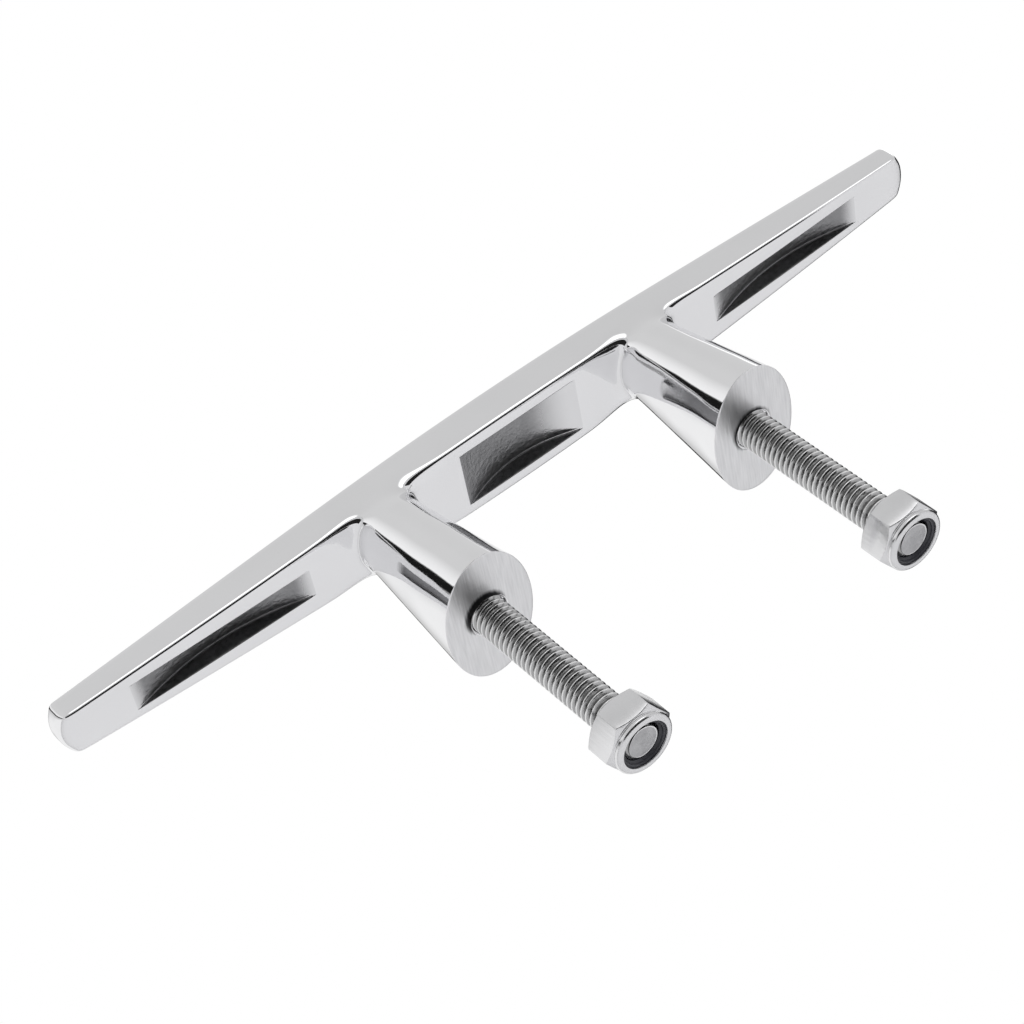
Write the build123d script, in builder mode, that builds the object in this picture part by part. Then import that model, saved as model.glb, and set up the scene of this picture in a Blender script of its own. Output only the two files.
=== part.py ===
from build123d import *
import math
import os

# Deck cleat with two legs: a one-piece cast horn, two M6 studs and two nylon-insert lock nuts.
# Millimetres. The origin is on the deck plane, midway between the two legs.
# +X runs along the horn, +Z points away from the deck, and the studs go down through it to -Z.

# Horn bar
horn_length = 165.0
horn_half_width = 7.3  # at the middle
belly_half_length = 30.0  # the curved middle stretch of the plan; beyond it the sides are straight
side_taper = 2.87  # degrees, each side, along the arms
tip_bulge = 1.3  # how far the rounded end stands out past its corners
tip_corner_radius = 2.8
top_height = 30.55  # above the deck, at the middle
top_drop = 0.6  # from the middle to the tips
underside_height = 23.85
underside_rise = 1.85  # from the middle to the tips
top_edge_radius = 1.2
underside_edge_radius = 0.5

# Legs: an ellipse on the deck, narrowing in a straight line to an ellipse inside the bar
stud_spacing = 50.8
leg_foot = (7.65, 11.8)  # half-length along X, half-width along Y
leg_head = (5.45, 6.75)
leg_head_height = 25.0
leg_fillet = 1.6

# Scooped pockets in the underside: middle X, length, depth, half-width
arm_pocket_middle = 55.1
pockets = [
    (-arm_pocket_middle, 31.2, 3.1, 2.6),
    (0.0, 22.4, 3.1, 5.1),
    (arm_pocket_middle, 31.2, 3.1, 2.6),
]

# M6 x 1 studs. The end held in the leg is drawn at the thread's pitch diameter.
stud_radius = 3.0
pitch_radius = 2.675
tapped_hole_radius = 2.7
stud_end_height = -33.3
stud_hold = 12.0  # length screwed into the leg
tapped_hole_depth = 13.5
hole_mouth_radius = 3.3
drill_point_angle = 118.0
clamping_length = 27.6  # full-diameter thread below the deck plane, clear of the nut
run_out_radius = 2.95  # the thread under the nut eases down to this
stud_end_radius = 2.6

# M6 lock nut, high type with a nylon insert
across_flats = 10.0
nut_top = -28.0  # the bearing face, towards the deck
nut_height = 6.0
hex_height = 4.85
chamfer_angle = 30.0
bearing_radius = 4.7
collar_radius = 4.9
collar_round = 0.95
thread_bore_radius = 3.05
thread_length = 3.8
insert_cavity_radius = 4.15
lip_radius = 3.85
lip_thickness = 0.3
insert_radius = 4.1
insert_gap = 0.05  # each end of the insert, inside its cavity
nut_turn = {"left": 56.5, "right": 53.5}  # degrees from +X to a corner

os.makedirs("parts", exist_ok=True)

half_length = horn_length / 2
sides = (("left", -stud_spacing / 2), ("right", stud_spacing / 2))
nut_end = nut_top - nut_height

# The plan's belly is one arc that turns through the side taper, and the arm carries on straight.
taper = math.radians(side_taper)
belly_radius = belly_half_length / math.sin(taper)
belly_end_width = horn_half_width - belly_radius * (1 - math.cos(taper))
tip_corner_x = half_length - tip_bulge
tip_corner_width = belly_end_width - (tip_corner_x - belly_half_length) * math.tan(taper)

# Horn: plan outline through the bar's height, cut to its elevation, with the legs lofted on.
with BuildPart() as horn:
    with BuildSketch():
        with BuildLine():
            ThreePointArc(
                (-belly_half_length, belly_end_width),
                (0, horn_half_width),
                (belly_half_length, belly_end_width),
            )
            Line((belly_half_length, belly_end_width), (tip_corner_x, tip_corner_width))
            ThreePointArc(
                (tip_corner_x, tip_corner_width),
                (half_length, 0),
                (tip_corner_x, -tip_corner_width),
            )
            Line((tip_corner_x, -tip_corner_width), (belly_half_length, -belly_end_width))
            ThreePointArc(
                (belly_half_length, -belly_end_width),
                (0, -horn_half_width),
                (-belly_half_length, -belly_end_width),
            )
            Line((-belly_half_length, -belly_end_width), (-tip_corner_x, -tip_corner_width))
            ThreePointArc(
                (-tip_corner_x, -tip_corner_width),
                (-half_length, 0),
                (-tip_corner_x, tip_corner_width),
            )
            Line((-tip_corner_x, tip_corner_width), (-belly_half_length, belly_end_width))
        make_face()
        corners = [v for v in vertices() if abs(abs(v.X) - tip_corner_x) < 0.01]
        fillet(corners, tip_corner_radius)
    extrude(amount=top_height + 1)

    end_x = half_length + 1
    end_top = top_height - top_drop
    end_underside = underside_height + underside_rise
    with BuildSketch(Plane.XZ):
        with BuildLine():
            ThreePointArc((-end_x, end_top), (0, top_height), (end_x, end_top))
            Line((end_x, end_top), (end_x, end_underside))
            ThreePointArc((end_x, end_underside), (0, underside_height), (-end_x, end_underside))
            Line((-end_x, end_underside), (-end_x, end_top))
        make_face()
    extrude(amount=horn_half_width + 1, both=True, mode=Mode.INTERSECT)

    # The rims of the top and of the underside are rounded over.
    crown = faces().sort_by(Axis.Z)[-1]
    fillet(crown.edges(), top_edge_radius)
    base = faces().sort_by(Axis.Z)[0]
    fillet(base.edges(), underside_edge_radius)

    # Scooped pockets: a slice of a cylinder lying across the bar, between two upright walls.
    for middle_x, length, depth, half_width in pockets:
        mouth = underside_height + underside_rise * (middle_x / half_length) ** 2
        end_a = middle_x - length / 2
        end_b = middle_x + length / 2
        mouth_a = underside_height + underside_rise * (end_a / half_length) ** 2
        mouth_b = underside_height + underside_rise * (end_b / half_length) ** 2
        with BuildSketch(Plane.XZ):
            with BuildLine():
                ThreePointArc((end_a, mouth_a), (middle_x, mouth + depth), (end_b, mouth_b))
                Polyline(
                    (end_b, mouth_b),
                    (end_b, underside_height - 1),
                    (end_a, underside_height - 1),
                    (end_a, mouth_a),
                )
            make_face()
        extrude(amount=half_width, both=True, mode=Mode.SUBTRACT)

    # Legs: straight-sided from foot to head, which stops inside the bar.
    for _, leg_x in sides:
        with BuildSketch():
            with Locations((leg_x, 0)):
                Ellipse(*leg_foot)
        with BuildSketch(Plane.XY.offset(leg_head_height)):
            with Locations((leg_x, 0)):
                Ellipse(*leg_head)
        loft(ruled=True)

    # Each leg meets the underside along two long curves, one towards each end of the horn.
    junctions = [
        edge
        for edge in edges().filter_by(GeomType.BSPLINE)
        if abs(edge.center().Z - underside_height) < 0.5
        and abs(abs(edge.center().X) - stud_spacing / 2) < leg_foot[0]
        and edge.length > 2 * leg_head[0]
    ]
    fillet(junctions, leg_fillet)

    # Blind tapped holes for the studs, opened at the mouth and with a drilled point.
    for _, leg_x in sides:
        mouth_depth = hole_mouth_radius - tapped_hole_radius
        point = tapped_hole_radius / math.tan(math.radians(drill_point_angle / 2))
        with BuildSketch(Plane.XZ):
            with BuildLine():
                Polyline(
                    (leg_x, 0),
                    (leg_x + hole_mouth_radius, 0),
                    (leg_x + tapped_hole_radius, mouth_depth),
                    (leg_x + tapped_hole_radius, tapped_hole_depth),
                    (leg_x, tapped_hole_depth + point),
                    close=True,
                )
            make_face()
        revolve(axis=Axis((leg_x, 0, 0), (0, 0, 1)), mode=Mode.SUBTRACT)

horn.part.label = "horn"
export_step(horn.part, "parts/horn.step")

for side, leg_x in sides:
    centre_line = Axis((leg_x, 0, 0), (0, 0, 1))

    # Stud: pitch-diameter stretch in the leg, full diameter through the deck, chamfered end.
    with BuildPart() as stud:
        end_chamfer = run_out_radius - stud_end_radius
        with BuildSketch(Plane.XZ):
            with BuildLine():
                Polyline(
                    (leg_x, stud_hold),
                    (leg_x + pitch_radius, stud_hold),
                    (leg_x + pitch_radius, 0),
                    (leg_x + stud_radius, 0),
                    (leg_x + stud_radius, -clamping_length),
                    (leg_x + run_out_radius, stud_end_height + end_chamfer),
                    (leg_x + stud_end_radius, stud_end_height),
                    (leg_x, stud_end_height),
                    close=True,
                )
            make_face()
        revolve(axis=centre_line)
    stud.part.label = f"stud_{side}"
    export_step(stud.part, f"parts/stud_{side}.step")

    # Nut: a hexagon turned down at both ends, with a round collar rolled over the insert.
    with BuildPart() as nut:
        corner_radius = across_flats / math.sqrt(3)
        bearing_slope = (corner_radius - bearing_radius) * math.tan(math.radians(chamfer_angle))
        collar_slope = (corner_radius - collar_radius) * math.tan(math.radians(chamfer_angle))
        hex_end = nut_top - hex_height
        with BuildSketch(Plane.XY.offset(nut_top)):
            with Locations((leg_x, 0)):
                RegularPolygon(corner_radius, 6, rotation=nut_turn[side])
        extrude(amount=-nut_height)
        with BuildSketch(Plane.XZ):
            with BuildLine():
                Polyline(
                    (leg_x + thread_bore_radius, nut_top),
                    (leg_x + bearing_radius, nut_top),
                    (leg_x + corner_radius, nut_top - bearing_slope),
                    (leg_x + corner_radius, hex_end + collar_slope),
                    (leg_x + collar_radius, hex_end),
                    (leg_x + collar_radius, nut_end + collar_round),
                )
                RadiusArc(
                    (leg_x + collar_radius, nut_end + collar_round),
                    (leg_x + collar_radius - collar_round, nut_end),
                    collar_round,
                )
                Polyline(
                    (leg_x + collar_radius - collar_round, nut_end),
                    (leg_x + lip_radius, nut_end),
                    (leg_x + lip_radius, nut_end + lip_thickness),
                    (leg_x + insert_cavity_radius, nut_end + lip_thickness),
                    (leg_x + insert_cavity_radius, nut_top - thread_length),
                    (leg_x + thread_bore_radius, nut_top - thread_length),
                    (leg_x + thread_bore_radius, nut_top),
                )
            make_face()
        revolve(axis=centre_line, mode=Mode.INTERSECT)
    nut.part.label = f"nut_{side}"
    export_step(nut.part, f"parts/nut_{side}.step")

    # Nylon insert: a plain ring held under the rolled lip.
    with BuildPart() as insert:
        insert_top = nut_top - thread_length - insert_gap
        insert_end = nut_end + lip_thickness + insert_gap
        with BuildSketch(Plane.XY.offset(insert_end)):
            with Locations((leg_x, 0)):
                Circle(insert_radius)
                Circle(thread_bore_radius, mode=Mode.SUBTRACT)
        extrude(amount=insert_top - insert_end)
    insert.part.label = f"insert_{side}"
    export_step(insert.part, f"parts/insert_{side}.step")
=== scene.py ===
import math
import bmesh
import bpy
from mathutils import Matrix, Vector


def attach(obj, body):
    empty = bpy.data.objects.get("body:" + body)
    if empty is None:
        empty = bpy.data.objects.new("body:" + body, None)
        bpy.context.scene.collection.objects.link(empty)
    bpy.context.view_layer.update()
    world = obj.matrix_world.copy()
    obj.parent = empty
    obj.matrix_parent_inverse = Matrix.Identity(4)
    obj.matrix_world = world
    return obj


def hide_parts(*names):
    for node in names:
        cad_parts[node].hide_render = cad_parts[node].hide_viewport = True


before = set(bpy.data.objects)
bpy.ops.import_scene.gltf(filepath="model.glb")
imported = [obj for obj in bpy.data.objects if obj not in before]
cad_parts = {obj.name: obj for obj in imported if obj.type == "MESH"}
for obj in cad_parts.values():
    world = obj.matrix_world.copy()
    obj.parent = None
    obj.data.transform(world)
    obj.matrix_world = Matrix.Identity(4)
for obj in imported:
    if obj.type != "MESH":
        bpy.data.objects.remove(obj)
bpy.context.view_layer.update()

# ---------------------------------------------------------------------------
# Horn
# The bar and its two legs are one stainless steel casting, ground and mirror polished all
# over. The leg ends are linished flat for the deck and the pockets underneath stay as cast.
# ---------------------------------------------------------------------------

belly_half_length = 30.0
belly_half_width = 7.3
taper = math.radians(2.87)
underside_height = 23.85
underside_rise = 1.85
top_height = 30.55
top_drop = 0.6
half_length = 82.5
tip_bulge = 1.3
leg_middle = 25.4
leg_foot = (7.65, 11.8)
leg_head = (5.45, 6.75)
leg_head_height = 25.0
hole_mouth = 3.3
hole_bore = 2.7

# Stations along one half of the bar, and the pockets as (first, last, rows) in stations
stations = (0, 5.6, 11.2, 14.5, 18.25, 21.2, 25.4, 29.6, 32.55, 36.0,
            39.5, 45.7, 52.0, 58.2, 64.5, 70.7, 74.6, 77.6, 79.6, 81.3)
tip_station = len(stations) - 1
leg_stations = (4, 8)
arm_pocket = (10, 15, 1)
centre_pocket = (-2, 2, 2)
pocket_depth = 3.1
arm_pocket_width = 2.6
centre_pocket_width = 5.1
cage_spread = 1.0120     # a 24-sided ring smooths to a slightly smaller one
hole_spread = 1.109      # and so does an 8-sided ring

# The bar's cage has rows 0 to 4 each side of its middle, and levels 0 to 4 from the underside
# up. The reaches are how far the row beside a rim stands from it.
last_row = 4
top_level = 4
underside_rim_reach = 1.3
rim_reach = 1.5
crown_rows = (0.3, 0.6)          # shares of the half-width
tip_rows = (0, 1.1, 2.1, 3.1, 3.98)
tip_tuck = (0.35, 0.2)           # the tip's lower edge is drawn in and up by this much

# Corners of the fillet between a leg and the bar
fillet_ring = (7.15, 8.5)        # where it starts on the underside, along and across the bar
fillet_ring_step = 13.2          # degrees from one of its corners to the next
fillet_rim_lift = 0.25           # its corner on the bar's rim
fillet_side = (5.0, 1.5)         # its corner on the bar's side, along and up
blend_rounds = 3                 # of evening out, for the corners round a fillet
leg_rise = (1.9, 2.9)            # the leg's own rows on the bar's side, above the underside

# Levels of the legs' cages. Corners stand 15 degrees apart round a leg.
leg_levels = {-2: 21.6, -3: 11.0, -4: 0.35, -5: 0.0}
bore_levels = {-6: 0.6, -7: 9.0}
leg_step = 15

pocket_level = 0.45      # stands for the pockets' floors, between the cage's levels 0 and 1
foot_slot, arm_floor_slot, centre_floor_slot, wall_slot = 1, 2, 3, 4
foot_crease = 0.62
hole_crease = 0.6


def bar_half_width(x):
    x = abs(x)
    if x < belly_half_length:
        return belly_half_width - x * x * math.sin(taper) / (2 * belly_half_length)
    edge = belly_half_width - belly_half_length * math.sin(taper) / 2
    return edge - (x - belly_half_length) * math.tan(taper)


def underside(x):
    return underside_height + underside_rise * (x / (half_length + 1)) ** 2


def crown(x):
    return top_height - top_drop * (x / (half_length + 1)) ** 2


def leg_ring(height, angle, spread=cage_spread):
    share = height / leg_head_height
    long = leg_foot[0] + (leg_head[0] - leg_foot[0]) * share
    wide = leg_foot[1] + (leg_head[1] - leg_foot[1]) * share
    return -long * spread * math.cos(angle), wide * spread * math.sin(angle)


def bar_point(column, row, level):
    """Where a corner of the bar's cage goes, from its station, row and level."""
    i = abs(round(column))
    j = abs(round(row))
    x = stations[i]
    wide = bar_half_width(x)
    low = underside(x)
    high = crown(x)
    if i == tip_station:
        across = tip_rows[j]
        x = half_length - tip_bulge * (across / tip_rows[-1]) ** 2
    elif level < 0.4:
        rim_row = wide - underside_rim_reach
        beside_centre = i <= centre_pocket[1] + 1
        second_row = centre_pocket_width if beside_centre else (arm_pocket_width + rim_row) / 2
        across = (0, arm_pocket_width, second_row, rim_row, wide)[j]
    else:
        across = (0, wide * crown_rows[0], wide * crown_rows[1], wide - rim_reach, wide)[j]
    heights = (low, low + rim_reach, (low + high) / 2, high - rim_reach, high)
    z = heights[round(level)]
    if i == tip_station and level < 0.5:
        x -= tip_tuck[0]
        z += tip_tuck[1]
    first, last = leg_stations
    if first <= i <= last and level < 1.5:
        turn = i - (first + last) / 2
        if j == last_row and first < i < last:
            z = low + leg_rise[0 if level < 0.5 else 1]
        elif level < 0.5 and i in (first, last):
            angle = math.radians(fillet_ring_step * j)
            x = leg_middle + math.copysign(fillet_ring[0] * math.cos(angle), turn)
            across = fillet_ring[1] * math.sin(angle)
            if j == last_row:
                z = low + fillet_rim_lift
        elif j == last_row and level > 0.5:
            x = leg_middle + math.copysign(fillet_side[0], turn)
            z = low + fillet_side[1]
    return math.copysign(x, column), math.copysign(across, row), z


def leg_point(column, row, level):
    """Where a corner of a leg's cage goes.

    Level -1 is at the bar and -5 at the deck. -6 and -7 go back up, inside the drilled hole.
    """
    first, last = leg_stations
    i = abs(round(column))
    j = abs(round(row))
    turn = i - (first + last) / 2
    if level < -5.5:
        z = bore_levels[round(level)]
        angle = math.atan2(j, turn)
        reach = hole_bore * hole_spread if (j or turn) else 0
        x, across = reach * math.cos(angle), reach * math.sin(angle)
    else:
        z = leg_levels.get(round(level), underside(leg_middle))
        if i in (first, last):
            angle = math.radians(leg_step * j)
        else:
            angle = math.radians(90 - leg_step * abs(turn))
        x, across = leg_ring(z, angle)
        x = math.copysign(x, turn) if turn else 0.0
        if first < i < last and j < last_row:
            mouth_angle = math.atan2(min(j, 1), turn)
            reach = hole_mouth * hole_spread if (j or turn) else 0
            share = max(j - 1, 0) / (last_row - 1)
            x = x * share + reach * math.cos(mouth_angle) * (1 - share)
            across = across * share + reach * math.sin(mouth_angle) * (1 - share)
            if j == 0:
                x = math.copysign(reach, turn) if turn else 0.0
                across = 0.0
    return math.copysign(1, column) * (leg_middle + x), math.copysign(across, row), z


def pocket_point(column, row):
    """Where a corner of a pocket's floor goes, on an arc between the pocket's ends."""
    x, across, z = bar_point(column, row, 0)
    if abs(column) > 5:
        first, last, _ = arm_pocket
        start, end = stations[first], stations[last]
    else:
        start, end = -stations[2], stations[2]
    middle = (start + end) / 2
    place = x if start < 0 else abs(x)
    reach = (place - middle) / ((end - start) / 2)
    return x, across, z + pocket_depth * (1 - reach * reach)


def extrude_faces(bm, faces, level):
    """Draw faces out to a new level, leaving nothing behind where they stood."""
    made = bmesh.ops.extrude_face_region(bm, geom=faces)["geom"]
    bmesh.ops.delete(bm, geom=faces, context="FACES")
    for vert in made:
        if isinstance(vert, bmesh.types.BMVert):
            vert.co.z = level
    return [face for face in made if isinstance(face, bmesh.types.BMFace)]


def faces_between(bm, level, columns, rows):
    found = []
    for face in bm.faces:
        middle = face.calc_center_median()
        flat = all(abs(vert.co.z - level) < 0.01 for vert in face.verts)
        if flat and columns[0] < middle.x < columns[1] and rows[0] < middle.y < rows[1]:
            found.append(face)
    return found


horn_cage = bmesh.new()
bmesh.ops.create_cube(horn_cage, size=1)
bmesh.ops.scale(horn_cage, vec=(2 * tip_station, 2 * last_row, top_level), verts=horn_cage.verts)
bmesh.ops.translate(horn_cage, vec=(0, 0, top_level / 2), verts=horn_cage.verts)
cuts = [((step, 0, 0), (1, 0, 0)) for step in range(1 - tip_station, tip_station)]
cuts += [((0, step, 0), (0, 1, 0)) for step in range(1 - last_row, last_row)]
cuts += [((0, 0, step), (0, 0, 1)) for step in range(1, top_level)]
for place, facing in cuts:
    everything = horn_cage.verts[:] + horn_cage.edges[:] + horn_cage.faces[:]
    bmesh.ops.bisect_plane(horn_cage, geom=everything, dist=1e-4, plane_co=place, plane_no=facing)

# Legs drawn down from the underside, with a drilled hole up the middle of each
foot_faces = []
for side in (-1, 1):
    columns = sorted(side * station for station in leg_stations)
    patch = faces_between(horn_cage, 0, columns, (-last_row, last_row))
    for level in (-1, -2, -3, -4, -5):
        patch = extrude_faces(horn_cage, patch, level)
    middle = side * sum(leg_stations) / 2
    bore = [face for face in patch
            if abs(face.calc_center_median().x - middle) < 1
            and abs(face.calc_center_median().y) < 1]
    foot_faces += [face for face in patch if face not in bore]
    for level in (-6, -7):
        bore = extrude_faces(horn_cage, bore, level)
for face in foot_faces:
    face.material_index = foot_slot

# Pockets drawn up into the bar
pockets = [arm_pocket, (-arm_pocket[1], -arm_pocket[0], arm_pocket[2]), centre_pocket]
for first, last, rows in pockets:
    mouth = faces_between(horn_cage, 0, (first, last), (-rows, rows))
    known = set(horn_cage.faces)
    floor = extrude_faces(horn_cage, mouth, pocket_level)
    known = {face for face in known if face.is_valid}
    for face in horn_cage.faces:
        if face in floor:
            face.material_index = centre_floor_slot if first < 0 < last else arm_floor_slot
        elif face not in known:
            face.material_index = wall_slot

# Crisp edges: pocket rims and floors, leg ends and hole mouths
crease = horn_cage.edges.layers.float.new("crease_edge")
for edge in horn_cage.edges:
    low, high = sorted(vert.co.z for vert in edge.verts)
    kinds = {face.material_index for face in edge.link_faces}
    if kinds == {0, foot_slot}:
        edge[crease] = foot_crease
    elif len(kinds) == 2:
        edge[crease] = 1.0
    elif -6.1 < low < -5.9 and high - low < 0.01:
        edge[crease] = hole_crease

# Each corner of the cage moved to its place, and the fillets beside the legs evened out
blend_verts = []
for vert in horn_cage.verts:
    column, row, level = vert.co
    near_leg = leg_stations[0] - 0.5 < abs(column) < leg_stations[1] + 0.5
    if near_leg and -1.5 < level < 1.5 and abs(row) > 2.5:
        blend_verts.append(vert)
    if level < -0.5:
        vert.co = leg_point(column, row, level)
    elif abs(level - pocket_level) < 0.05:
        vert.co = pocket_point(column, row)
    else:
        vert.co = bar_point(column, row, level)
for _ in range(blend_rounds):
    bmesh.ops.smooth_vert(horn_cage, verts=blend_verts, factor=0.4, use_axis_x=True,
                          use_axis_y=True, use_axis_z=True)
bmesh.ops.remove_doubles(horn_cage, verts=horn_cage.verts, dist=1e-4)
bmesh.ops.scale(horn_cage, vec=(0.001, 0.001, 0.001), verts=horn_cage.verts)
bmesh.ops.recalc_face_normals(horn_cage, faces=horn_cage.faces)
for face in horn_cage.faces:
    face.smooth = True

horn_mesh = bpy.data.meshes.new("horn_casting")
horn_cage.to_mesh(horn_mesh)
horn_cage.free()
horn_piece = bpy.data.objects.new("horn_casting", horn_mesh)
bpy.context.scene.collection.objects.link(horn_piece)

# The smoothing is made permanent, so that the piece's box is that of its real surface
smoothing = horn_piece.modifiers.new("smoothing", "SUBSURF")
smoothing.levels = 3
smoothing.render_levels = 3
smoothed = horn_piece.evaluated_get(bpy.context.evaluated_depsgraph_get())
horn_mesh = bpy.data.meshes.new_from_object(smoothed)
horn_piece.modifiers.clear()
horn_piece.data = horn_mesh


class Finish:
    """A socket of a material. Sums on it add Math nodes, and node() adds any other node."""

    def __init__(self, tree, socket=None):
        self.tree = tree
        self.socket = socket

    def node(self, kind, settings=None, sockets=None, output=0):
        made = self.tree.nodes.new(kind)
        for name, value in (settings or {}).items():
            if name == "stops":
                ramp = made.color_ramp
                while len(ramp.elements) < len(value):
                    ramp.elements.new(1.0)
                for stop, (place, shade) in zip(ramp.elements, value):
                    stop.position = place
                    stop.color = (shade, shade, shade, 1)
            else:
                setattr(made, name, value)
        for name, value in (sockets or {}).items():
            if isinstance(value, Finish):
                self.tree.links.new(value.socket, made.inputs[name])
            else:
                made.inputs[name].default_value = value
        return Finish(self.tree, made.outputs[output] if made.outputs else None)

    def sum(self, operation, *values):
        return self.node("ShaderNodeMath", {"operation": operation}, dict(enumerate(values)))

    def __add__(self, other):
        return self.sum("ADD", self, other)

    def __radd__(self, other):
        return self.sum("ADD", other, self)

    def __sub__(self, other):
        return self.sum("SUBTRACT", self, other)

    def __rsub__(self, other):
        return self.sum("SUBTRACT", other, self)

    def __mul__(self, other):
        return self.sum("MULTIPLY", self, other)

    def __rmul__(self, other):
        return self.sum("MULTIPLY", other, self)

    def blend(self, first, second):
        """A colour between two, by this socket."""
        return self.node("ShaderNodeMix", {"data_type": "RGBA"}, {0: self, 6: first, 7: second}, 2)

    def spread(self, low, high):
        """This socket's 0 to 1 carried to low to high."""
        return self.node("ShaderNodeMapRange", {}, {"Value": self, "To Min": low, "To Max": high})

    def fade(self, start, full):
        """0 to 1, softly, as this socket goes from start to full."""
        sockets = {"Value": self, "From Min": start, "From Max": full}
        return self.node("ShaderNodeMapRange", {"interpolation_type": "SMOOTHSTEP"}, sockets)

    def noise(self, size, detail=3.0, stretch=(1, 1, 1)):
        """A cloudy pattern with patches about size metres across."""
        place = self.node("ShaderNodeMapping", {}, {"Vector": self, "Scale": stretch})
        settings = {"Vector": place, "Scale": 1 / size, "Detail": detail}
        return self.node("ShaderNodeTexNoise", {}, settings)


def start_finish(name):
    material = bpy.data.materials.new(name)
    material.use_nodes = True
    material.node_tree.nodes.clear()
    tree = Finish(material.node_tree)
    place = tree.node("ShaderNodeTexCoord", output=3)
    return material, place


def surface(place, sockets):
    """The material's shader, joined to its output."""
    shader = place.node("ShaderNodeBsdfPrincipled", {}, sockets)
    place.node("ShaderNodeOutputMaterial", {}, {"Surface": shader})


def metal(place, colour, roughness, height, depth):
    """A bare metal surface, with bumps of the given height pattern and depth in metres."""
    bump = place.node("ShaderNodeBump", {}, {"Height": height, "Distance": depth, "Strength": 1.0})
    surface(place, {"Base Color": colour, "Roughness": roughness, "Metallic": 1.0,
                    "Normal": bump})


def reach_from(place, x, y=0.0):
    """Distance from an upright line at x, y."""
    across = place.node("ShaderNodeVectorMath", {"operation": "SUBTRACT"}, {0: place, 1: (x, y, 0)})
    flat = place.node("ShaderNodeVectorMath", {"operation": "MULTIPLY"}, {0: across, 1: (1, 1, 0)})
    return place.node("ShaderNodeVectorMath", {"operation": "LENGTH"}, {0: flat}, 1)


def polished_casting():
    material, place = start_finish("polished_casting")
    cloud = place.noise(0.011, 4)
    haze = place.noise(0.0025, 5)
    colour = cloud.blend((0.84, 0.84, 0.85, 1), (0.90, 0.90, 0.91, 1))
    roughness = haze.spread(0.035, 0.08)
    split = place.node("ShaderNodeSeparateXYZ", {}, {"Vector": place}, 2)
    leg = split.fade(0.0245, 0.0205)     # the legs are wavier than the bar
    swell = place.noise(0.013, 1) * (0.30 + 2.6 * leg) + 0.015 * place.noise(0.0006, 3)
    metal(place, colour, roughness, swell, 0.00014)
    return material


def linished_foot():
    material, place = start_finish("linished_foot")
    grain = place.noise(0.00035, 3, (1, 0.07, 1))
    scratch = place.noise(0.0009, 4, (1, 0.05, 1))
    bare = grain.blend((0.66, 0.66, 0.67, 1), (0.92, 0.92, 0.93, 1))
    # Painted shade: a near-black ring, a little off centre, round the root of each stud, standing
    # in for the stud's shadow and its reflection in the foot
    left = reach_from(place, -0.0260, -0.0011) + 0.0006 * grain
    right = reach_from(place, 0.0251, -0.0004) + 0.0006 * grain
    painted_stud_shadow_and_reflection = place.sum("MINIMUM", left, right).fade(0.0043, 0.0034)
    colour = painted_stud_shadow_and_reflection.blend(bare, (0.03, 0.03, 0.032, 1))
    roughness = scratch.spread(0.24, 0.42)
    metal(place, colour, roughness, grain + 0.6 * scratch, 0.00003)
    return material


def as_cast_pocket(middle, fade):
    """Rough floor of a pocket, polished where the wheel reaches it.

    fade is where the polish starts and where it is full. An arm's pocket is polished at both
    ends, measured each way from its middle, and the centre pocket, whose middle is 0, at its
    +X end only.
    """
    material, place = start_finish("as_cast_pocket")
    along = place.node("ShaderNodeSeparateXYZ", {}, {"Vector": place}, 0)
    reach = place.sum("ABSOLUTE", place.sum("ABSOLUTE", along) - middle) if middle else along
    wheel = 0.92 * reach.fade(*fade)
    grit = place.noise(0.0007, 6)
    patch = place.noise(0.006, 3)
    # The as-cast grey is partly real and partly painted shade: it is made darker than the steel for
    # the shade inside the pocket
    cast_grey_and_painted_shade = (0.5 * grit + 0.5 * patch).blend((0.16, 0.16, 0.165, 1), (0.44, 0.44, 0.45, 1))
    colour = wheel.blend(cast_grey_and_painted_shade, (0.84, 0.84, 0.85, 1))
    roughness = 0.10 + (1 - wheel) * grit.spread(0.16, 0.36)
    metal(place, colour, roughness, (grit + 0.5 * patch) * (1.1 - wheel), 0.00012)
    return material


def pocket_wall():
    material, place = start_finish("pocket_wall")
    grit = place.noise(0.0007, 6)
    # Partly real as-cast scale and partly painted shade: the walls are coloured darker still for
    # the shade deep in the pocket
    colour = grit.blend((0.12, 0.12, 0.122, 1), (0.36, 0.36, 0.365, 1))
    metal(place, colour, grit.spread(0.28, 0.46), grit, 0.00009)
    return material


arm_floor = as_cast_pocket(0.0551, (0.0128, 0.0160))
centre_floor = as_cast_pocket(0.0, (0.0020, 0.0102))
for finish in (polished_casting(), linished_foot(), arm_floor, centre_floor, pocket_wall()):
    horn_mesh.materials.append(finish)
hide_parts("horn")
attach(horn_piece, "horn")

# ---------------------------------------------------------------------------
# Studs
# Each is a length of M6 stainless steel rod with a rolled right-hand thread of 1 mm pitch,
# screwed into its leg and sawn and chamfered at the free end.
# ---------------------------------------------------------------------------

pitch = 1.0
crest_radius = 2.97
root_radius = 2.40
stud_top = 12.0
stud_end = -33.3
stud_face_radius = 2.6
chamfer_reach = 1.1      # how fast the end's chamfer opens out, for each millimetre along
spare_thread = 1.5       # thread drawn past the sawn end and then cut away
thread_steps = 40
sharp_edge = math.radians(32)    # edges bent more than this are shaded as edges
thread_shape = ((0.0, root_radius), (0.10, root_radius), (0.41, crest_radius - 0.03),
                (0.46, crest_radius), (0.54, crest_radius), (0.59, crest_radius - 0.03),
                (0.90, root_radius))


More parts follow.
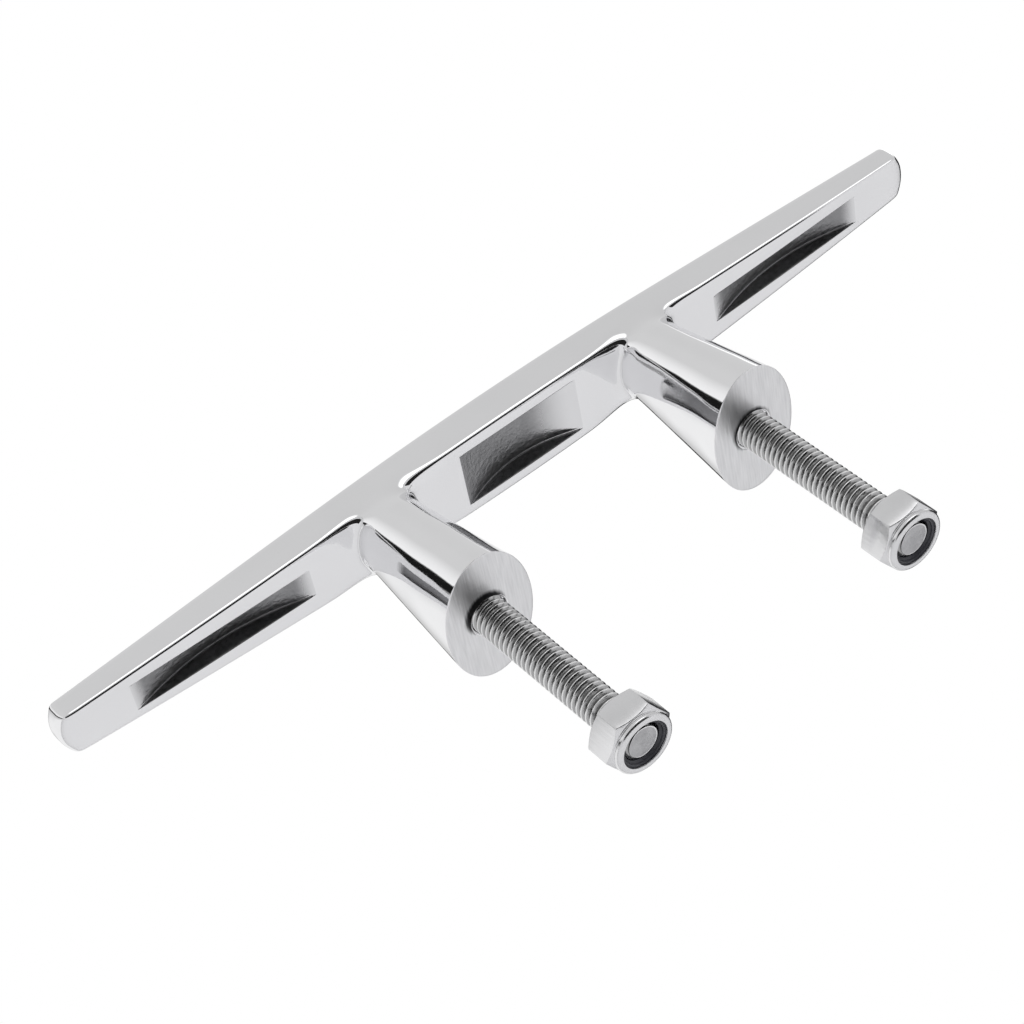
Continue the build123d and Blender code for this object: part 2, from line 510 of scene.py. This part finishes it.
def millimetres_to_piece(bm, name, materials):
    """Turn a bmesh in millimetres into an object in metres, at the origin."""
    bmesh.ops.remove_doubles(bm, verts=bm.verts, dist=1e-4)
    bmesh.ops.recalc_face_normals(bm, faces=bm.faces)
    bmesh.ops.scale(bm, vec=(0.001, 0.001, 0.001), verts=bm.verts)
    for face in bm.faces:
        face.smooth = True
    for edge in bm.edges:
        if len(edge.link_faces) == 2 and edge.calc_face_angle() > sharp_edge:
            edge.smooth = False
    mesh = bpy.data.meshes.new(name)
    bm.to_mesh(mesh)
    bm.free()
    for finish in materials:
        mesh.materials.append(finish)
    piece = bpy.data.objects.new(name, mesh)
    bpy.context.scene.collection.objects.link(piece)
    return piece


def rolled_thread_steel(middle_x):
    material, place = start_finish("rolled_thread_steel")
    flow = place.noise(0.0006, 4, (1, 1, 3))
    cloud = place.noise(0.004, 3)
    radius = reach_from(place, middle_x * 0.001)
    depth = place.node("ShaderNodeMapRange", {},
                       {"Value": radius, "From Min": 0.0024, "From Max": 0.0030})
    # Painted shade and highlight: the thread's colour goes from near black in its roots to near
    # white on its crests
    shades = ((0.0, 0.15), (0.20, 0.38), (0.72, 0.54), (0.88, 0.97))
    painted_root_shade_and_crest_glint = place.node("ShaderNodeValToRGB", {"stops": shades}, {"Fac": depth})
    colour = (0.25 * cloud).blend(painted_root_shade_and_crest_glint, (0.45, 0.45, 0.45, 1))
    roughness = flow.spread(0.12, 0.26)
    metal(place, colour, roughness, flow + 0.5 * cloud, 0.00002)
    return material


def sawn_end():
    material, place = start_finish("sawn_end")
    grain = place.noise(0.0005, 5)
    cloud = place.noise(0.0018, 3)
    dull = (0.5 * grain + 0.5 * cloud).blend((0.28, 0.28, 0.29, 1), (0.70, 0.70, 0.71, 1))
    # Painted highlight: the sawn face turns near white in a narrow ring at its edge, beside the
    # chamfer
    radius = place.sum("MINIMUM", reach_from(place, -0.0254), reach_from(place, 0.0254))
    rim = radius.fade(0.00235, 0.00255)
    colour = rim.blend(dull, (0.95, 0.95, 0.96, 1))
    metal(place, colour, grain.spread(0.30, 0.50), grain + cloud, 0.00006)
    return material


sawn_finish = sawn_end()
for side, middle_x in (("left", -leg_middle), ("right", leg_middle)):
    stud = bmesh.new()
    corners = []
    turns = math.ceil(stud_top - stud_end) + 2
    for turn in range(turns):
        for rise, radius in thread_shape:
            height = stud_end - spare_thread + (turn + rise) * pitch
            corners.append(stud.verts.new((radius, 0, height)))
    line = [stud.edges.new(pair) for pair in zip(corners, corners[1:])]
    bmesh.ops.spin(stud, geom=corners + line, cent=(0, 0, 0), axis=(0, 0, 1), angle=2 * math.pi,
                   dvec=(0, 0, pitch / thread_steps), steps=thread_steps, use_merge=False)
    bmesh.ops.remove_doubles(stud, verts=stud.verts, dist=1e-4)
    for height, facing in ((stud_end, -1), (stud_top, 1)):
        everything = stud.verts[:] + stud.edges[:] + stud.faces[:]
        bmesh.ops.bisect_plane(stud, geom=everything, dist=1e-5, plane_co=(0, 0, height),
                               plane_no=(0, 0, facing), clear_outer=True)
        rim = [edge for edge in stud.edges if edge.is_boundary
               and all(abs(vert.co.z - height) < 1e-3 for vert in edge.verts)]
        bmesh.ops.holes_fill(stud, edges=rim, sides=0)
    for vert in stud.verts:
        reach = math.hypot(vert.co.x, vert.co.y)
        limit = stud_face_radius + (vert.co.z - stud_end) * chamfer_reach
        if reach > limit:
            vert.co.x *= limit / reach
            vert.co.y *= limit / reach
    for face in stud.faces:
        if all(abs(vert.co.z - stud_end) < 1e-3 for vert in face.verts):
            face.material_index = 1
    bmesh.ops.translate(stud, vec=(middle_x, 0, 0), verts=stud.verts)
    finishes = [rolled_thread_steel(middle_x), sawn_finish]
    stud_piece = millimetres_to_piece(stud, f"stud_{side}_thread", finishes)
    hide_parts(f"stud_{side}")
    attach(stud_piece, "horn")

# ---------------------------------------------------------------------------
# Lock nuts
# A high M6 lock nut, 10 mm across flats, turned from hexagon bar. Both ends are chamfered,
# and the collar at the free end is rolled over the nylon insert to hold it.
# ---------------------------------------------------------------------------

half_flats = 5.0
nut_top = -28.0
nut_end = -34.0
hex_end = -32.85
bearing_radius = 4.7
collar_radius = 4.9
waist_radius = 4.76
lip_bulge = 4.92
lip_round = (0.60, 0.58)     # half-thickness of the rolled lip, outwards and along
lip_radius = 3.85
cavity_radius = 4.12         # room for the insert
cavity_top = nut_top - 3.82
bore_radius = 3.05
bore_mouth_radius = 3.35
nut_steps = 144
outer_edges = 4.95           # edges further out than this, and bent more than this, are rounded
outer_bend = math.radians(14)
edge_round = 0.06
chamfer_slope = math.tan(math.radians(30))
nut_corner_turn = {"left": 56.5, "right": 53.5}

# Radius and height of each ring from the hexagon's end, round the lip and back up the bore
collar_profile = [(waist_radius, hex_end - 0.08), (waist_radius, hex_end - 0.13)]
lip_middle = (lip_bulge - lip_round[0], nut_end + lip_round[1])
for step in range(-4, 9):
    bend = math.radians(step * 90 / 8)
    collar_profile.append((lip_middle[0] + lip_round[0] * math.cos(bend),
                           lip_middle[1] - lip_round[1] * math.sin(bend)))
collar_profile += [(lip_radius + 0.03, nut_end + 0.02), (lip_radius, nut_end + 0.07),
                   (lip_radius, nut_end + 0.30), (cavity_radius, nut_end + 0.32),
                   (cavity_radius, cavity_top), (bore_radius, cavity_top),
                   (bore_radius, nut_top - 0.28), (bore_mouth_radius, nut_top)]


def nut_steel():
    material, place = start_finish("nut_steel")
    drawn = place.noise(0.0005, 4, (1, 1, 0.12))
    cloud = place.noise(0.003, 3)
    colour = cloud.blend((0.72, 0.72, 0.73, 1), (0.84, 0.84, 0.85, 1))
    roughness = (0.5 * drawn + 0.5 * cloud).spread(0.12, 0.26)
    metal(place, colour, roughness, drawn + 0.6 * cloud, 0.000018)
    return material


nut_finish = nut_steel()


def ring_on(bm, ring, shape):
    """Draw a ring of edges on to a new ring, with each corner's radius and height from shape."""
    made = bmesh.ops.extrude_edge_only(bm, edges=ring)["geom"]
    for vert in made:
        if isinstance(vert, bmesh.types.BMVert):
            turn = math.atan2(vert.co.y, vert.co.x)
            radius, height = shape(turn)
            vert.co = (radius * math.cos(turn), radius * math.sin(turn), height)
    return [edge for edge in made if isinstance(edge, bmesh.types.BMEdge)]


def flats(turn):
    """Distance from the axis to the hexagon, with a corner at turn 0."""
    within = (turn + 2 * math.pi) % (math.pi / 3) - math.pi / 6
    return half_flats / math.cos(within)


for side, middle_x in (("left", -leg_middle), ("right", leg_middle)):
    nut = bmesh.new()
    bmesh.ops.create_circle(nut, cap_ends=False, segments=nut_steps,
                             radius=bore_mouth_radius)
    bmesh.ops.translate(nut, vec=(0, 0, nut_top), verts=nut.verts)
    ring = nut.edges[:]
    ring = ring_on(nut, ring, lambda turn: (bearing_radius, nut_top))
    ring = ring_on(nut, ring, lambda turn: (
        flats(turn), nut_top - (flats(turn) - bearing_radius) * chamfer_slope))
    ring = ring_on(nut, ring, lambda turn: (
        flats(turn), hex_end + (flats(turn) - collar_radius) * chamfer_slope))
    ring = ring_on(nut, ring, lambda turn: (collar_radius, hex_end))
    for radius, height in collar_profile:
        ring = ring_on(nut, ring, lambda turn: (radius, height))
    bmesh.ops.remove_doubles(nut, verts=nut.verts, dist=1e-4)
    bmesh.ops.recalc_face_normals(nut, faces=nut.faces)
    edges = [edge for edge in nut.edges if len(edge.link_faces) == 2
             and edge.calc_face_angle() > outer_bend
             and ((edge.verts[0].co + edge.verts[1].co) / 2).xy.length > outer_edges]
    bmesh.ops.bevel(nut, geom=edges, offset=edge_round, offset_type="OFFSET", segments=2,
                    profile=0.5, affect="EDGES", material=-1, clamp_overlap=True)
    turned = Matrix.Rotation(math.radians(nut_corner_turn[side]), 3, "Z")
    bmesh.ops.rotate(nut, cent=(0, 0, 0), matrix=turned, verts=nut.verts)
    bmesh.ops.translate(nut, vec=(middle_x, 0, 0), verts=nut.verts)
    nut_piece = millimetres_to_piece(nut, f"nut_{side}_shell", [nut_finish])
    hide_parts(f"nut_{side}")
    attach(nut_piece, f"nut_{side}")

# ---------------------------------------------------------------------------
# Nylon inserts
# A black nylon ring trapped under each nut's rolled lip. The stud's thread has pressed its
# inner edge inwards, which leaves a raised outer band around a dark recess.
# ---------------------------------------------------------------------------

insert_low = nut_end + 0.35
insert_high = nut_top - 3.85
insert_profile = ((4.10, insert_high), (4.10, insert_low), (3.80, insert_low),
                  (3.74, insert_low + 0.05), (3.68, insert_low), (3.50, insert_low),
                  (3.42, insert_low + 0.06), (3.36, insert_low + 0.28), (3.20, insert_low + 0.42),
                  (3.06, insert_low + 0.55), (3.06, insert_high), (4.10, insert_high))


def black_nylon():
    material, place = start_finish("black_nylon")
    grain = place.noise(0.0004, 4)
    cloud = place.noise(0.002, 3)
    colour = cloud.blend((0.012, 0.012, 0.016, 1), (0.045, 0.046, 0.058, 1))
    bump = place.node("ShaderNodeBump", {}, {"Height": grain, "Distance": 0.00002})
    surface(place, {"Base Color": colour, "Roughness": grain.spread(0.28, 0.46), "Normal": bump})
    return material


nylon_finish = black_nylon()
for side, middle_x in (("left", -leg_middle), ("right", leg_middle)):
    insert = bmesh.new()
    corners = [insert.verts.new((radius, 0, height)) for radius, height in insert_profile]
    line = [insert.edges.new(pair) for pair in zip(corners, corners[1:])]
    bmesh.ops.spin(insert, geom=corners + line, cent=(0, 0, 0), axis=(0, 0, 1),
                   angle=2 * math.pi, steps=96, use_merge=True)
    bmesh.ops.translate(insert, vec=(middle_x, 0, 0), verts=insert.verts)
    insert_piece = millimetres_to_piece(insert, f"insert_{side}_ring", [nylon_finish])
    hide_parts(f"insert_{side}")
    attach(insert_piece, f"insert_{side}")

# ---------------------------------------------------------------------------
# Bench, light and camera
# A plain pale floor well below the part, a bright soft room with darker bands for the polish
# to mirror, and a long lens from below and to the left.
# ---------------------------------------------------------------------------


def sheet_piece(name, half_size, shape, tilt, place):
    """A flat sheet in metres, shaped along X and Y, tipped about X and moved into place."""
    sheet = bmesh.new()
    bmesh.ops.create_grid(sheet, x_segments=1, y_segments=1, size=half_size)
    bmesh.ops.scale(sheet, vec=(*shape, 1), verts=sheet.verts)
    tipped = Matrix.Rotation(math.radians(tilt), 3, "X")
    bmesh.ops.rotate(sheet, cent=(0, 0, 0), matrix=tipped, verts=sheet.verts)
    bmesh.ops.translate(sheet, vec=place, verts=sheet.verts)
    mesh = bpy.data.meshes.new(name)
    sheet.to_mesh(mesh)
    sheet.free()
    piece = bpy.data.objects.new(name, mesh)
    bpy.context.scene.collection.objects.link(piece)
    return piece


def plain_finish(name, size, dark, light, roughness):
    """A matt surface, clouded between two greys in patches about size metres across."""
    material, place = start_finish(name)
    surface(place, {"Base Color": place.noise(size, 2).blend(dark, light),
                    "Roughness": roughness})
    return material


floor_piece = sheet_piece("floor", 6, (1, 1), 0, (0, 0, -0.55))
paint = plain_finish("floor_paint", 0.4, (0.80, 0.80, 0.81, 1), (0.84, 0.84, 0.85, 1), 0.7)
floor_piece.data.materials.append(paint)

# The room seen in the polish: bands of tone from one side to the other, two bright patches and
# a dark one. The camera itself sees plain white behind the part.
across_room = (-0.651, 0.751, -0.110)    # the bands run from one end of this to the other
room = bpy.data.worlds.new("room")
room.use_nodes = True
room.node_tree.nodes.clear()
air = Finish(room.node_tree)
direction = air.node("ShaderNodeTexCoord")
camera_ray = air.node("ShaderNodeLightPath")
sweep = air.node("ShaderNodeVectorMath", {"operation": "DOT_PRODUCT"},
                 {0: direction, 1: across_room}, 1)
around = air.node("ShaderNodeMapRange", {}, {"Value": sweep, "From Min": -1.0, "From Max": 1.0})
bands = ((0.0, 0.64), (0.26, 0.70), (0.40, 0.70), (0.53, 0.92), (0.605, 1.0), (0.618, 0.01),
         (0.690, 0.01), (0.705, 0.58), (0.76, 0.68), (0.82, 0.95))
tone = air.node("ShaderNodeValToRGB", {"stops": bands}, {"Fac": around})


def patch_of_room(toward, start, full):
    """A soft-edged patch of the room, from 0 outside it to 1 inside."""
    near = air.node("ShaderNodeVectorMath", {"operation": "DOT_PRODUCT"},
                    {0: direction, 1: toward}, 1)
    return near.fade(start, full)


window = patch_of_room((0.355, -0.932, -0.110), 0.89, 0.96)
skylight = patch_of_room((0.745, 0.246, 0.620), 0.965, 1.0)
lit = air.sum("MAXIMUM", window, skylight).blend(tone, (1.7, 1.7, 1.7, 1))
dark = patch_of_room((0.80, 0.60, 0.02), 0.81, 0.87)
mirrored = dark.blend(lit, (0.02, 0.02, 0.022, 1))
colour = camera_ray.blend(mirrored, (1, 1, 1, 1))
glow = air.node("ShaderNodeBackground", {}, {"Color": colour, "Strength": 1.0})
air.node("ShaderNodeOutputWorld", {}, {"Surface": glow})
bpy.context.scene.world = room
bpy.context.scene.view_settings.view_transform = "Standard"

lamp = bpy.data.lights.new("overhead_softbox", "AREA")
lamp.shape = "RECTANGLE"
lamp.size = 2.4
lamp.size_y = 1.6
lamp.energy = 17
softbox = bpy.data.objects.new("overhead_softbox", lamp)
softbox.location = (0.3, 0.3, 1.6)
softbox.visible_glossy = False
bpy.context.scene.collection.objects.link(softbox)

# A black card beyond the lens, which only the polish sees
card_piece = sheet_piece("black_card", 0.5, (0.90, 0.44), -42.3, (-0.02, -0.315, -0.35))
card_piece.visible_camera = False
card_piece.visible_shadow = False
card_piece.visible_diffuse = False
velvet = plain_finish("black_velvet", 0.05, (0.003, 0.003, 0.003, 1), (0.006, 0.006, 0.006, 1), 0.9)
card_piece.data.materials.append(velvet)

# A long lens, placed by its own right, up and back directions
lens = bpy.data.cameras.new("lens")
lens.sensor_width = 36
lens.lens = 91.868
lens.clip_start = 0.01
camera = bpy.data.objects.new("lens", lens)
right = Vector((0.769268, 0.152798, -0.620387))
up = Vector((0.531237, -0.692435, 0.488180))
back = Vector((-0.354985, -0.705114, -0.613840))
frame_matrix = Matrix((right, up, back)).transposed().to_4x4()
frame_matrix.translation = Vector((-0.14690, -0.27120, -0.22250))
camera.matrix_world = frame_matrix
bpy.context.scene.collection.objects.link(camera)
bpy.context.scene.camera = camera
